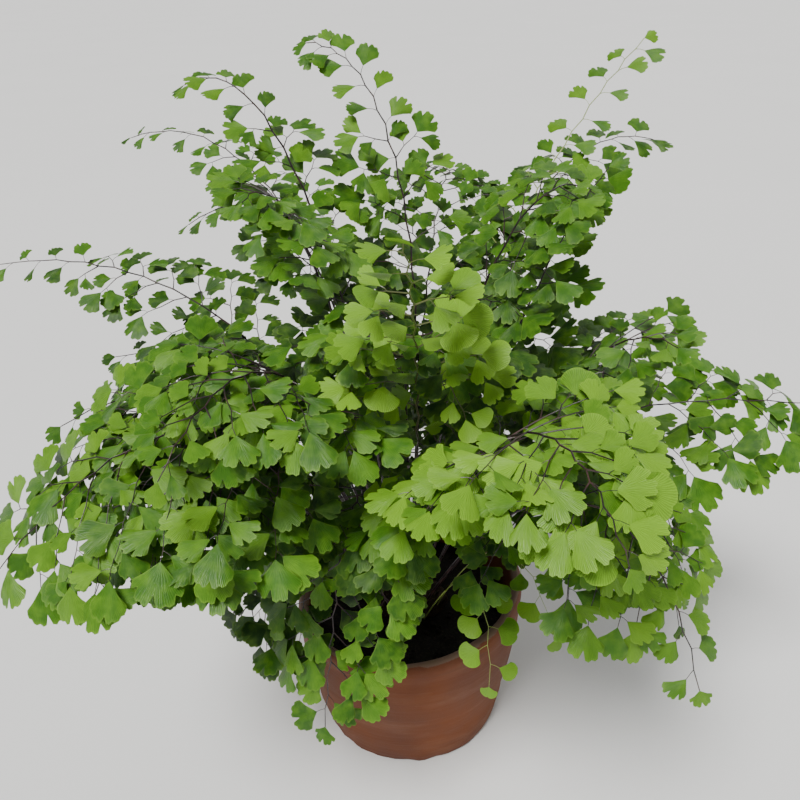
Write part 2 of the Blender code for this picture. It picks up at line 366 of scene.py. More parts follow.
@dataclass(frozen=True)
class LeafFinish:
    """The thin green tissue of a leaflet, with fanning veins: darker when old and where shade is painted,
    yellow-green when young and where light is painted.
    """

    name: str
    old: Colour = (0.008, 0.042, 0.0015, 1.0)
    grown: Colour = (0.058, 0.190, 0.0050, 1.0)
    fresh: Colour = (0.255, 0.515, 0.026, 1.0)
    margin: Colour = (0.330, 0.540, 0.070, 1.0)
    glow: Colour = (0.190, 0.480, 0.006, 1.0)
    light_through: float = 0.20

    def make(self) -> bpy.types.Material:
        """Build the material.

        Returns:
            The material, which reads a leaflet's UV map and its tone attribute.
        """
        material, tree, shader = new_material(self.name)
        tone = tree.add("ShaderNodeAttribute", attribute_name="tone").outputs["Fac"]
        place = tree.add("ShaderNodeUVMap").outputs["UV"]
        split = tree.add("ShaderNodeSeparateXYZ")
        tree.feed(split, Vector=place)
        across, out = split.outputs["X"], split.outputs["Y"]
        # The tone ramp: old leaflets and painted shade at its dark end, fresh leaflets and painted light at
        # its pale end.
        ramp = tree.add("ShaderNodeValToRGB")
        ramp.color_ramp.elements[0].color = self.old
        ramp.color_ramp.elements[1].color = self.fresh
        ramp.color_ramp.elements.new(0.5).color = self.grown
        tree.feed(ramp, Fac=tone)
        spread = tree.add("ShaderNodeMapping")
        tree.feed(spread, Vector=place, Scale=(40.0, 2.6, 1.0))
        streaks = tree.noise(spread.outputs["Vector"], 1.0, 2.0)
        veins = tree.add("ShaderNodeTexWave", bands_direction="X", wave_profile="SIN")
        tree.feed(veins, Vector=place, Scale=9.4, Distortion=1.8, Detail=2.0, Detail_Scale=1.4)
        relief = tree.blend(0.45, veins.outputs["Fac"], streaks)
        objects = tree.add("ShaderNodeTexCoord").outputs["Object"]
        patches = tree.noise(objects, 240.0, 2.0)
        veined = tree.blend(tree.span(relief, 0.30, 0.75, 0.0, 0.38), ramp.outputs["Color"], self.old)
        mottled = tree.blend(tree.span(patches, 0.4, 0.75, 0.0, 0.30), veined, self.fresh)
        rim = tree.span(out, 0.90, 1.0, 0.0, 0.24)
        side = tree.span(tree.sum("ABSOLUTE", tree.sum("SUBTRACT", across, 0.5), 0.0), 0.455, 0.5, 0.0, 0.28)
        edged = tree.blend(tree.sum("MAXIMUM", rim, side), mottled, self.margin)
        tree.feed(shader, Base_Color=edged, Roughness=0.40, Normal=tree.bump(relief, 0.00018, 0.62))
        shader.inputs["Specular IOR Level"].default_value = 0.36
        through = tree.add("ShaderNodeBsdfTranslucent")
        tree.feed(through, Color=tree.blend(0.55, edged, self.glow))
        both = tree.add("ShaderNodeMixShader")
        both.inputs[0].default_value = self.light_through
        tree.put(both.inputs[1], shader.outputs[0])
        tree.put(both.inputs[2], through.outputs[0])
        tree.put(tree.tree.nodes["Material Output"].inputs["Surface"], both.outputs[0])
        return material


@dataclass(frozen=True)
class StalkFinish:
    """The hard polished skin of a stalk: nearly black with a purple cast, pale green where it is young."""

    name: str
    colour: Colour = (0.016, 0.008, 0.010, 1.0)
    worn: Colour = (0.065, 0.030, 0.026, 1.0)
    young: Colour = (0.260, 0.340, 0.070, 1.0)

    def make(self) -> bpy.types.Material:
        """Build the material.

        Returns:
            The material.
        """
        material, tree, shader = new_material(self.name)
        objects = tree.add("ShaderNodeTexCoord").outputs["Object"]
        bands = tree.noise(objects, 160.0, 2.0)
        colour = tree.blend(tree.span(bands, 0.45, 0.75), self.colour, self.worn)
        green = tree.add("ShaderNodeAttribute", attribute_name="green").outputs["Fac"]
        colour = tree.blend(green, colour, self.young)
        tree.feed(shader, Base_Color=colour, Roughness=tree.span(bands, 0.3, 0.8, 0.26, 0.5))
        return material


@dataclass(frozen=True)
class ClayFinish:
    """Damp unglazed red clay, with throwing lines, dry patches, dust on the rim and a painted shadow below
    the lip.
    """

    name: str
    clay: Colour = (0.176, 0.053, 0.017, 1.0)
    wet: Colour = (0.100, 0.031, 0.014, 1.0)
    dry: Colour = (0.230, 0.112, 0.064, 1.0)
    dust: Colour = (0.165, 0.110, 0.080, 1.0)
    lip_shadow_colour: Colour = (0.040, 0.020, 0.013, 1.0)

    def make(self, grit: bpy.types.NodeTree) -> bpy.types.Material:
        """Build the material.

        Args:
            grit: The shared grit effect.

        Returns:
            The material.
        """
        material, tree, shader = new_material(self.name)
        objects = tree.add("ShaderNodeTexCoord").outputs["Object"]
        fine = tree.add("ShaderNodeGroup", node_tree=grit)
        tree.feed(fine, Vector=objects, Grit_Scale=1500.0, Patch_Scale=26.0)
        flat = tree.add("ShaderNodeMapping")
        tree.feed(flat, Vector=objects, Scale=(14.0, 14.0, 380.0))
        lines = tree.noise(flat.outputs["Vector"], 1.0, 3.0)
        smears = tree.add("ShaderNodeMapping")
        tree.feed(smears, Vector=objects, Scale=(22.0, 22.0, 60.0))
        smear = tree.noise(smears.outputs["Vector"], 1.0, 4.0)
        colour = tree.blend(tree.span(fine.outputs["Patches"], 0.30, 0.70), self.wet, self.clay)
        colour = tree.blend(tree.span(smear, 0.54, 0.80, 0.0, 0.55), colour, self.dry)
        colour = tree.blend(tree.span(lines, 0.50, 0.80, 0.0, 0.22), colour, self.wet)
        colour = tree.blend(tree.span(fine.outputs["Grit"], 0.55, 0.80, 0.0, 0.20), colour, self.dry)
        marks = tree.add("ShaderNodeAttribute", attribute_name="dusty").outputs["Fac"]
        ragged = tree.sum("ADD", marks, tree.span(smear, 0.3, 0.7, -0.30, 0.20))
        ragged = tree.sum("ADD", ragged, tree.span(fine.outputs["Grit"], 0.3, 0.7, -0.12, 0.12))
        colour = tree.blend(tree.span(ragged, 0.35, 0.75, 0.0, 0.85), colour, self.dust)
        # Painted shadow: a ragged dark strip on the outside just under the lip, strongest towards the right.
        lip_shadow_mark = tree.add("ShaderNodeAttribute", attribute_name="lip_shadow").outputs["Fac"]
        lip_shadow_share = tree.sum("ADD", lip_shadow_mark, tree.span(smear, 0.3, 0.7, -0.35, 0.20))
        colour = tree.blend(tree.span(lip_shadow_share, 0.2, 0.8, 0.0, 0.7), colour, self.lip_shadow_colour)
        height = tree.sum("ADD", tree.sum("MULTIPLY", fine.outputs["Grit"], 0.30), lines)
        roughness = tree.span(fine.outputs["Patches"], 0.3, 0.7, 0.62, 0.85)
        tree.feed(shader, Base_Color=colour, Roughness=roughness)
        tree.feed(shader, Normal=tree.bump(height, 0.00040, 0.8))
        shader.inputs["Specular IOR Level"].default_value = 0.3
        return material


@dataclass(frozen=True)
class EarthFinish:
    """Loose dark matter: potting soil, bark or roots, by its colours."""

    name: str
    dark: Colour
    light: Colour
    grain: float
    roughness: float

    def make(self, grit: bpy.types.NodeTree) -> bpy.types.Material:
        """Build the material.

        Args:
            grit: The shared grit effect.

        Returns:
            The material.
        """
        material, tree, shader = new_material(self.name)
        objects = tree.add("ShaderNodeTexCoord").outputs["Object"]
        fine = tree.add("ShaderNodeGroup", node_tree=grit)
        tree.feed(fine, Vector=objects, Grit_Scale=self.grain, Patch_Scale=self.grain / 8)
        share = tree.span(fine.outputs["Grit"], 0.48, 0.72)
        colour = tree.blend(share, self.dark, self.light)
        colour = tree.blend(tree.span(fine.outputs["Patches"], 0.4, 0.7, 0.0, 0.5), colour, self.dark)
        tree.feed(shader, Base_Color=colour, Roughness=self.roughness)
        tree.feed(shader, Normal=tree.bump(fine.outputs["Grit"], 0.0006, 0.9))
        shader.inputs["Specular IOR Level"].default_value = 0.25
        return material


# ---------------------------------------------------------------- leaflets


class Hand(Enum):
    """Which side of a leaflet lies towards the base of the branch that bears it."""

    LEFT = -1
    RIGHT = 1


@dataclass(frozen=True)
class LeafletForm:
    """One form of leaflet: a fan between two straight sides, with a lobed outer margin.

    spread is the angle between the sides in degrees, short how much shorter the far side is than the near
    one, rounding how much the two corners are cut, notches the deep cuts as (step of the margin, depth),
    scallop the depth of the small ones between lobes, and cup how far the margin hangs below the middle.
    """

    name: str
    spread: float
    short: float
    rounding: float
    notches: tuple[tuple[int, float], ...]
    scallop: float = 0.055
    cup: float = 0.14
    steps: int = 18
    rows: int = 2
    lobe: int = 3
    thickness: float = 0.022

    def radius(self, step: int, teeth: float) -> float:
        """Give the leaflet's length along one of the rays from its stalklet, as a share of its size.

        Args:
            step: Which ray, from 0 at the near side to steps at the far side.
            teeth: How much of the teeth and cuts shows, from 0 to 1.

        Returns:
            The length.
        """
        way = step / self.steps
        length = (1.0 - self.short * way) * (1.0 - self.rounding * abs(2 * way - 1) ** 3.0)
        if step % self.lobe == 0 and 0 < step < self.steps:
            length *= 1.0 - self.scallop * teeth
        for cut, depth in self.notches:
            if step == cut:
                length *= 1.0 - depth * teeth
            elif abs(step - cut) == 1:
                length *= 1.0 - depth * 0.16 * teeth
        return length

    def make(self, hand: Hand) -> bpy.types.Object:
        """Model the leaflet, one unit long, with its stalklet end at the origin and its length along +Y.

        Args:
            hand: Which side is the near one: the left, or the right for the mirrored form.

        Returns:
            The leaflet, a thin closed solid whose two skins meet along its margin.
        """
        skins = [self.skin(hand, 0.0), self.skin(hand, self.thickness)]
        leaf = join_all(skins, f"{self.name}_{hand.name.lower()}")
        pick(leaf)
        bpy.ops.object.mode_set(mode="EDIT")
        bpy.ops.mesh.select_all(action="SELECT")
        bpy.ops.mesh.remove_doubles(threshold=0.0001)
        bpy.ops.mesh.normals_make_consistent(inside=False)
        bpy.ops.object.mode_set(mode="OBJECT")
        smooth(leaf, 60)
        return leaf

    def skin(self, hand: Hand, drop: float) -> bpy.types.Object:
        """Shape one of the leaflet's two skins from a grid.

        Args:
            hand: Which side is the near one.
            drop: How far the skin's inside lies below the upper skin.

        Returns:
            The skin.
        """
        deselect_all()
        bpy.ops.mesh.primitive_grid_add(x_subdivisions=self.steps, y_subdivisions=self.rows, size=2.0)
        skin = bpy.context.object
        for corner in skin.data.vertices:
            step = round((corner.co.x + 1) / 2 * self.steps)
            row = round((corner.co.y + 1) / 2 * self.rows)
            corner.co = self.corner(step, row, hand)
            if 0 < step < self.steps and row == 1:
                corner.co.z -= drop
        return skin

    def corner(self, step: int, row: int, hand: Hand) -> Vector:
        """Place one corner of the grid on the fan.

        Args:
            step: The ray that it lies on.
            row: How far out it lies, from 0 at the stalklet to rows at the margin.
            hand: Which side is the near one.

        Returns:
            The corner's place.
        """
        mirrored = step if hand is Hand.LEFT else self.steps - step
        way = step / self.steps
        share = (0.0, 0.60, 1.0)[row]
        angle = radians(self.spread) * (way - 0.5) * (0.84 + 0.16 * share)
        reach = self.radius(mirrored, 1.0 if row == self.rows else 0.35)
        wave = 0.030 * sin(way * 9.0 + self.spread) * share**2
        sag = self.cup * share**2 * (0.35 + (2 * way - 1) ** 2 * 0.65)
        return Vector((sin(angle) * reach * share, cos(angle) * reach * share, wave - sag))


FANS = (
    LeafletForm("broad_fan", 98, 0.06, 0.30, ((6, 0.20), (12, 0.26))),
    LeafletForm("split_fan", 86, 0.04, 0.30, ((9, 0.26),)),
    LeafletForm("three_lobed_fan", 104, 0.10, 0.28, ((3, 0.12), (9, 0.26), (15, 0.16))),
    LeafletForm("plain_fan", 80, 0.08, 0.32, ((9, 0.12),)),
)
HALF_FANS = (
    LeafletForm("long_half_fan", 78, 0.30, 0.26, ((6, 0.16), (12, 0.14))),
    LeafletForm("blunt_half_fan", 86, 0.24, 0.30, ((9, 0.20),)),
    LeafletForm("narrow_half_fan", 62, 0.22, 0.28, ((12, 0.16),)),
    LeafletForm("cut_half_fan", 82, 0.28, 0.26, ((6, 0.22), (12, 0.24))),
)
ROUND_FANS = (
    LeafletForm("round_leaflet", 124, 0.08, 0.32, ((9, 0.08),), scallop=0.0, cup=0.10),
    LeafletForm("round_wedge", 92, 0.18, 0.34, (), scallop=0.015, cup=0.08),
)


class LeafletCutter:
    """Keeps one model of every leaflet form and makes placed copies of them."""

    def __init__(self, material: bpy.types.Material) -> None:
        """Model every form in both hands.

        Args:
            material: The leaflets' finish.
        """
        self.models: dict[tuple[str, Hand], bpy.types.Object] = {}
        for form in FANS + HALF_FANS + ROUND_FANS:
            for hand in Hand:
                model = form.make(hand)
                model.data.materials.append(material)
                self.models[form.name, hand] = model

    def cut(self, form: LeafletForm, hand: Hand, place: Matrix, tone: float) -> bpy.types.Object:
        """Make one leaflet with its own mesh.

        Args:
            form: The leaflet's form.
            hand: Which side is the near one.
            place: Where its model goes.
            tone: Its colour, from 0 for old and dark to 1 for fresh and pale, with painted light and shade in
                it.

        Returns:
            The leaflet.
        """
        mesh = self.models[form.name, hand].data.copy()
        mesh.transform(place)
        mark(mesh, "tone", [tone] * len(mesh.vertices))
        leaf = bpy.data.objects.new("leaflet", mesh)
        bpy.context.scene.collection.objects.link(leaf)
        return leaf

    def clear(self) -> None:
        """Remove the models once every leaflet is cut."""
        for model in self.models.values():
            bpy.data.objects.remove(model, do_unlink=True)


# ---------------------------------------------------------------- fronds


class Age(Enum):
    """A frond's age, which sets the form of its leaflets, how they face and how thick its wire is."""

    YOUNG = "young"
    FRESH = "fresh"
    GROWN = "grown"


@dataclass(frozen=True)
class FrondLooks:
    """How one frond looks: leaflet size in metres, tone, half of its blade's width, droop and age.

    gap is the way between two side branches along the rachis, forks how many of the lower side branches
    branch again, green how much of the stalk's upper part is still green, point how quickly the blade narrows
    towards its tip, and taper how much smaller the leaflets are there. skirt counts the short old side
    branches that stand lower on the stalk, in the shade of the crown.
    """

    leaflet: float
    tone: float
    half_width: float
    droop: float = 0.30
    forks: int = 6
    gap: float = 0.0088
    green: float = 0.0
    age: Age = Age.GROWN
    point: float = 1.1
    taper: float = 0.34
    skirt: int = 0


LOOKS = (
    FrondLooks(0.0120, 0.30, 0.038, 0.22, 4, 0.0090, point=1.2, taper=0.2),
    FrondLooks(0.0114, 0.34, 0.036, 0.25, 2, 0.0105, point=1.7, taper=0.2, skirt=5),
    FrondLooks(0.0112, 0.28, 0.034, 0.20, 1, 0.0110, point=1.8, taper=0.2),
    FrondLooks(0.0114, 0.40, 0.032, 0.20, 2, 0.0110, point=1.9, taper=0.15, skirt=5),
    FrondLooks(0.0124, 0.46, 0.038, 0.12, 4, 0.0098, point=1.6, taper=0.12, skirt=6),
    FrondLooks(0.0128, 0.56, 0.036, 0.20, 2, 0.0088, green=0.9, point=1.6, taper=0.25),
    FrondLooks(0.0134, 0.22, 0.028, 0.20, 0, 0.0105, point=1.2, taper=0.05),
    FrondLooks(0.0136, 0.50, 0.040, 0.15, 0, 0.0135, point=1.2, taper=0.05, skirt=4),
    FrondLooks(0.0162, 0.50, 0.060, 0.30, 7, 0.0088, point=0.8, taper=0.05, skirt=4),
    FrondLooks(0.0120, 0.82, 0.054, 0.26, 9, 0.0078, taper=0.05, skirt=4),
    FrondLooks(0.0120, 0.68, 0.046, 0.36, 7, taper=0.10, skirt=4),
    FrondLooks(0.0120, 0.54, 0.048, 0.30, 7, skirt=3),
    FrondLooks(0.0134, 0.74, 0.034, 0.20, 2, 0.0060, point=0.45, taper=-0.05),
    FrondLooks(0.0140, 0.58, 0.062, 0.36, 9, point=0.7, taper=0.05, skirt=3),
    FrondLooks(0.0134, 0.36, 0.056, 0.36, 7, taper=0.12, skirt=4),
    FrondLooks(0.0122, 0.18, 0.048, 0.34, 7, skirt=8),
    FrondLooks(0.0130, 0.44, 0.056, 0.30, 7),
    FrondLooks(0.0098, 0.94, 0.040, 0.15, 6, 0.0085, 0.35, Age.FRESH, 1.0, 0.10),
    FrondLooks(0.0128, 0.46, 0.056, 0.30, 8),
    FrondLooks(0.0134, 0.56, 0.058, 0.32, 9),
    FrondLooks(0.0128, 0.40, 0.048, 0.36, point=0.8, taper=0.1),
    FrondLooks(0.0094, 0.92, 0.010, 0.35, 0, 0.0100, 1.0, Age.YOUNG, 1.0, 0.10),
    FrondLooks(0.0094, 0.86, 0.010, 0.35, 0, 0.0100, 1.0, Age.YOUNG, 1.0, 0.10),
    FrondLooks(0.0128, 0.14, 0.056, 0.50, 8, skirt=9),
    FrondLooks(0.0120, 0.30, 0.054, 0.22, 8, 0.0086, point=0.9, skirt=7),
    FrondLooks(0.0124, 0.40, 0.048, 0.25, 5, point=1.2, skirt=8),
    FrondLooks(0.0126, 0.40, 0.048, 0.25, 5, point=1.2, skirt=8),
    FrondLooks(0.0128, 0.48, 0.056, 0.28, 8, skirt=6),
)


class Route:
    """A frond's centreline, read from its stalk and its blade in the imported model.

    The stalk's first, middle and last rings give a parabola, which runs on to the blade's far end.
    """

    SIDES = 5
    STRETCHES = 500
    STRETCH_STEP = 0.01
    CHORDS = 40

    def __init__(self, number: int) -> None:
        """Read the route.

        Args:
            number: The frond's number.
        """
        rings = self.rings(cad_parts[f"stalk_{number:02d}"])
        start, middle, end = rings[0], rings[len(rings) // 2], rings[-1]
        self.start = start
        self.slope = middle * 4 - start * 3 - end
        self.bend = (start - middle * 2 + end) * 2
        blade = [corner.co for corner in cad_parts[f"blade_{number:02d}"].data.vertices]
        tip = max(blade, key=lambda spot: (spot - end).length)
        spans = [1.0 + step * self.STRETCH_STEP for step in range(self.STRETCHES)]
        self.stretch = min(spans, key=lambda span: (self.reach(span) - tip).length)
        self.stalk_share = 1.0 / self.stretch
        outward = self.point(1.0) - self.start
        self.side = Vector((-outward.y, outward.x, 0.0)).normalized()
        stops = [self.point(step / self.CHORDS) for step in range(self.CHORDS + 1)]
        self.length = sum((after - before).length for before, after in zip(stops, stops[1:]))

    def rings(self, node: bpy.types.Object) -> list[Vector]:
        """Find the centres of a stalk's rings of corners, from its foot up.

        Args:
            node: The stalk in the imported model.

        Returns:
            The centres.
        """
        left = {tuple(round(part, 6) for part in corner.co) for corner in node.data.vertices}
        spots = [Vector(spot) for spot in sorted(left)]
        here = min(spots, key=lambda spot: spot.z)
        centres = []
        while len(spots) >= self.SIDES:
            spots.sort(key=lambda spot: (spot - here).length)
            ring, spots = spots[: self.SIDES], spots[self.SIDES :]
            here = sum(ring, Vector()) / self.SIDES
            centres.append(here)
        return centres

    def reach(self, span: float) -> Vector:
        """Give the point at a multiple of the stalk's own run."""
        return self.start + self.slope * span + self.bend * span**2

    def point(self, share: float) -> Vector:
        """Give the point at a share of the way from foot to tip.

        Args:
            share: The share.

        Returns:
            The point.
        """
        return self.reach(share * self.stretch)

    def axes(self, share: float) -> tuple[Vector, Vector, Vector]:
        """Give the directions at a share of the way.

        Args:
            share: The share.

        Returns:
            The way along the frond, its level side, and the upper side of its blade.
        """
        along = (self.slope + self.bend * (2 * share * self.stretch)).normalized()
        side = (self.side - along * self.side.dot(along)).normalized()
        upper = along.cross(side)
        return along, side, upper


@dataclass
class Run:
    """A wire of the stem work: its points and the radius at each."""

    points: list[Vector]
    radii: list[float]


class Crowd:
    """Knows where leaflets already are, so that a new one can be turned clear of them."""

    CELL = 0.008

    def __init__(self) -> None:
        """Start with no leaflets."""
        self.cells: dict[tuple[int, int, int], list[Vector]] = {}

    def cell(self, spot: Vector) -> tuple[int, int, int]:
        """Give the cell that a spot lies in."""
        return (int(spot.x // self.CELL), int(spot.y // self.CELL), int(spot.z // self.CELL))

    def room(self, spot: Vector) -> float:
        """Measure the room round a spot.

        Args:
            spot: The spot.

        Returns:
            The distance to the nearest leaflet's middle, up to one cell.
        """
        base = self.cell(spot)
        nearest = self.CELL
        for step in range(27):
            near = (base[0] + step % 3 - 1, base[1] + step // 3 % 3 - 1, base[2] + step // 9 - 1)
            for other in self.cells.get(near, ()):
                nearest = min(nearest, (other - spot).length)
        return nearest

    def add(self, spot: Vector) -> None:
        """Note a leaflet's middle."""
        self.cells.setdefault(self.cell(spot), []).append(spot)


@dataclass
class Frond:
    """One frond: its stem work and its leaflets, along its route.

    kink is how far a branch bends at a leaflet, tries how many ways a leaflet is tried, pair_chance the
    chance of a lone leaflet across from a side branch, and least_room the room that a leaflet needs, as a
    share of its size. skirt_gap is the way between skirt branches as a share of the bare stalk, and
    skirt_reach and fork_reach are the least and greatest length of a skirt branch and of a branch's own
    branch. deep and shade_reach tell where shade is painted on the grown fronds' leaflets inside the crown,
    which also stands for their older, darker colour there: below a height, and within a distance from the
    middle. light is the way that leaflets turn to.
    """

    number: int
    looks: FrondLooks
    cutter: LeafletCutter
    crowd: Crowd
    stalk_finish: bpy.types.Material
    foot_radius: float = 0.00072
    tip_radius: float = 0.00020
    branch_radius: float = 0.00028
    stalklet_radius: float = 0.00012
    leaflet_gap: float = 0.0064
    stalk_points: int = 14
    kink: float = 0.0004
    tries: int = 5
    pair_chance: float = 0.6
    least_room: float = 0.27
    skirt_gap: float = 0.072
    skirt_reach: tuple[float, float] = (0.026, 0.040)
    fork_reach: tuple[float, float] = (0.0135, 0.0185)
    deep: float = 0.275
    shade_reach: float = 0.125
    light: Vector = field(default_factory=lambda: Vector((-0.10, -0.54, 0.83)))
    runs: list[Run] = field(default_factory=list)
    hairs: list[Run] = field(default_factory=list)
    leaves: list[bpy.types.Object] = field(default_factory=list)

    def build(self) -> None:
        """Grow the frond and hand its two pieces over."""
        self.random = Random(self.number * 7919)
        if self.looks.age is Age.FRESH:
            self.light = Vector((-0.10, -0.82, 0.56))
        self.route = Route(self.number)
        self.grow_rachis()
        self.grow_branches()
        self.join_stems()
        leaflets = join_all(self.leaves, f"frond_{self.number:02d}_leaflets")
        hand_over(leaflets, (f"blade_{self.number:02d}",))

    def nodes(self) -> list[float]:
        """List where the side branches stand, as shares of the route.

        Returns:
            The shares, from the blade's base to near its tip.
        """
        start = self.route.stalk_share
        count = max(4, round(self.route.length * (1 - start) / self.looks.gap))
        ways = [(index + 0.3) / (count + 0.4) for index in range(count)]
        return [start + (1 - start) * way * (1.16 - 0.16 * way) for way in ways]

    def grow_rachis(self) -> None:
        """Lay the main wire: smooth along the bare stalk, and bent a little at every side branch."""
        shares = [self.route.stalk_share * step / self.stalk_points for step in range(self.stalk_points)]
        points = [self.route.point(share) for share in shares]
        radii = [self.radius(share) for share in shares]
        self.knees: list[Vector] = []
        for index, share in enumerate(self.nodes()):
            _, side, upper = self.route.axes(share)
            bend = side * self.hand(index) * 0.0006 + upper * self.random.uniform(-0.0003, 0.0005)
            knee = self.route.point(share) + bend
            self.knees.append(knee)
            points.append(knee)
            radii.append(self.radius(share))
        points.append(self.route.point(1.0))
        radii.append(self.radius(1.0))
        self.runs.append(Run(points, radii))

    def radius(self, share: float) -> float:
        """Give the main wire's radius at a share of the route."""
        scale = 0.5 if self.looks.age is Age.YOUNG else 1.0
        return (self.foot_radius + (self.tip_radius - self.foot_radius) * share**0.9) * scale

    def hand(self, index: int) -> int:
        """Give the side of a branch: 1 or -1 in turn."""
        return 1 if (index + self.number) % 2 else -1

    def half_width(self, way: float) -> float:
        """Give a side branch's length at a share of the way up the blade."""
        return self.looks.half_width * (min(1.0, 0.8 + 2 * way) * (1 - way) ** self.looks.point + 0.04)

    def plane(self, share: float) -> tuple[Vector, Vector, Vector]:
        """Give the blade's directions at a share of the route, with its upper side turned to the light.

        Args:
            share: The share.

        Returns:
            The way along the frond, its side, and its upper side.
        """
        along, _, upper = self.route.axes(share)
        faced = upper + self.light * 1.1
        faced = (faced - along * faced.dot(along)).normalized()
        return along, faced.cross(along).normalized(), faced

    def grow_branches(self) -> None:
        """Grow the side branches, the lone leaflets near the tip and the leaflet at the end."""
        knees = self.nodes()
        for index, share in enumerate(knees):
            way = (index + 0.5) / len(knees)
            along, side, upper = self.plane(share)
            side = side * self.hand(index)
            length = self.half_width(way) * self.random.uniform(0.88, 1.12)
            size = self.looks.leaflet * (1.04 - self.looks.taper * way) * self.random.uniform(0.92, 1.08)
            lean = radians(self.random.uniform(26, 42))
            lift = self.random.uniform(-0.10, 0.14)
            heading = (side * cos(lean) + along * sin(lean) + upper * lift).normalized()
            alone = size * 1.05
            if self.looks.age is not Age.YOUNG and length > alone and self.random.random() < self.pair_chance:
                other = (along * 0.5 - side * 0.85 - upper * 0.2).normalized()
                self.grow_leaflet(self.knees[index], other, along, upper, size * 0.95, 0.0030)
            if length < alone:
                self.grow_leaflet(self.knees[index], heading, along, upper, size, 0.0042)
            else:
                self.grow_branch(self.knees[index], heading, upper, length, size, index < self.looks.forks)
        along, _, upper = self.plane(1.0)
        self.grow_leaflet(self.route.point(1.0), along, None, upper, self.looks.leaflet * 0.66, 0.0)
        self.grow_skirt()

    def grow_skirt(self) -> None:
        """Grow the short side branches that stand on the stalk below the blade."""
        for index in range(self.looks.skirt):
            share = self.route.stalk_share * (0.98 - self.skirt_gap * index)
            along, side, upper = self.plane(share)
            side = side * self.hand(index)
            heading = (side * self.random.uniform(0.8, 1.0) + along * 0.2 + upper * 0.2).normalized()
            length = self.random.uniform(*self.skirt_reach)
            self.grow_branch(self.route.point(share), heading, upper, length, self.looks.leaflet, index < 3)

    def grow_branch(
        self, root: Vector, heading: Vector, upper: Vector, length: float, size: float, forked: bool
    ) -> None:
        """Grow one side branch with alternate leaflets and a fan at its end.

        Args:
            root: Where it leaves the stem that bears it.
            heading: The way it starts.
            upper: The upper side of the blade there.
            length: Its length.
            size: The length of its leaflets.
            forked: Whether its lower part bears short branches instead of leaflets.
        """
        count = max(1, round((length - size * 0.25) / self.leaflet_gap))
        droop = self.looks.droop * self.random.uniform(0.7, 1.3)
        first = self.random.choice((0, 1))
        across = upper.cross(heading).normalized()
        points, radii = [root], [self.branch_radius]
        for index in range(1, count + 1):
            way = index / (count + 0.45)
            turn = across * (self.kink if (index + first) % 2 else -self.kink)
            points.append(root + heading * (length * way) - UP * (droop * length * way**2) + turn)
            radii.append(self.branch_radius * (1 - 0.5 * way))
        points.append(root + heading * length - UP * (droop * length))
        radii.append(self.branch_radius * 0.45)
        self.runs.append(Run(points, radii))
        for index in range(1, count + 1):
            along = (points[index + 1] - points[index - 1]).normalized()
            level = self.level(along, upper)
            side = level.cross(along).normalized() * (1 if (index + first) % 2 else -1)
            splay = radians(self.random.uniform(48, 66))
            out = along * cos(splay) + side * sin(splay)
            scale = self.random.uniform(0.86, 1.06)
            if forked and 1 < index < count * 0.6 and index % 3:
                reach = self.random.uniform(*self.fork_reach) * (1.1 - index / count * 0.5)
                self.grow_branch(points[index], out, level, reach, size * 0.94, False)
            else:
                stalklet = self.random.uniform(0.0018, 0.0032)
                self.grow_leaflet(points[index], out, along, level, size * scale, stalklet)
        along = (points[-1] - points[-2]).normalized()
        self.grow_leaflet(points[-1], along, None, self.level(along, upper), size * 1.04, 0.0)

    def level(self, along: Vector, upper: Vector) -> Vector:
        """Level a drooping branch.

        Args:
            along: The way along the branch.
            upper: The upper side of the blade that it belongs to.

        Returns:
            The branch's upper side: square to it, between the blade's own upper side and the light.
        """
        square = upper * 0.45 + self.light
        square = square - along * square.dot(along)
        return square.normalized() if square.length > 0.05 else self.light

    def grow_leaflet(
        self, root: Vector, out: Vector, along: Optional[Vector], upper: Vector, size: float, stalklet: float
    ) -> None:
        """Hang one leaflet on its stalklet, turned clear of the leaflets that are already there.

        Args:
            root: Where the stalklet leaves its branch.
            out: The way the stalklet and the leaflet point.
            along: The way along the branch, or nothing for the fan at its end.
            upper: The leaflet's upper side.
            size: The leaflet's length.
            stalklet: The stalklet's length.
        """
        tries = [self.pose(root, out, upper, stalklet, size) for _ in range(self.tries)]
        room, axis, face, apex = max(tries, key=lambda each: each[0])
        if room < size * self.least_room and along is not None:
            return
        self.crowd.add(apex + axis * size * 0.6)
        if stalklet:
            middle = root + axis * (stalklet * 0.5) + UP * 0.0003
            radius = self.stalklet_radius
            self.hairs.append(Run([root, middle, apex + axis * size * 0.04], [radius * 1.3, radius, radius]))
        across = axis.cross(face)
        hand = Hand.LEFT
        if along is not None and across.dot(along) < 0:
            hand = Hand.RIGHT
        form = self.random.choice(self.forms(along is None))
        # Painted light and shade in the tone: leaflets higher up are painted paler, and grown fronds'
        # leaflets deep inside the crown darker; the random part is each leaflet's own tone.
        tone = self.looks.tone + self.random.uniform(-0.22, 0.22)
        tone += (apex.z - 0.22) * 0.8 - self.shade(apex)
        columns = Matrix((across, axis, face)).transposed().to_4x4()
        place = Matrix.Translation(apex) @ columns @ Matrix.Diagonal((size, size, size, 1.0))
        self.leaves.append(self.cutter.cut(form, hand, place, min(1.0, max(0.0, tone))))

    def shade(self, spot: Vector) -> float:
        """Tell how much shade is painted on a grown frond's leaflets at a spot deep inside the crown.

        The painted shade also stands for the older leaflets' own darker colour there.

        Args:
            spot: The spot.

        Returns:
            What is taken from a leaflet's tone there.
        """
        if self.looks.age is not Age.GROWN:
            return 0.0
        inward = max(0.0, 1.0 - Vector((spot.x, spot.y)).length / self.shade_reach)
        return min(1.0, max(0.0, (self.deep - spot.z) / 0.07)) * inward * 1.1

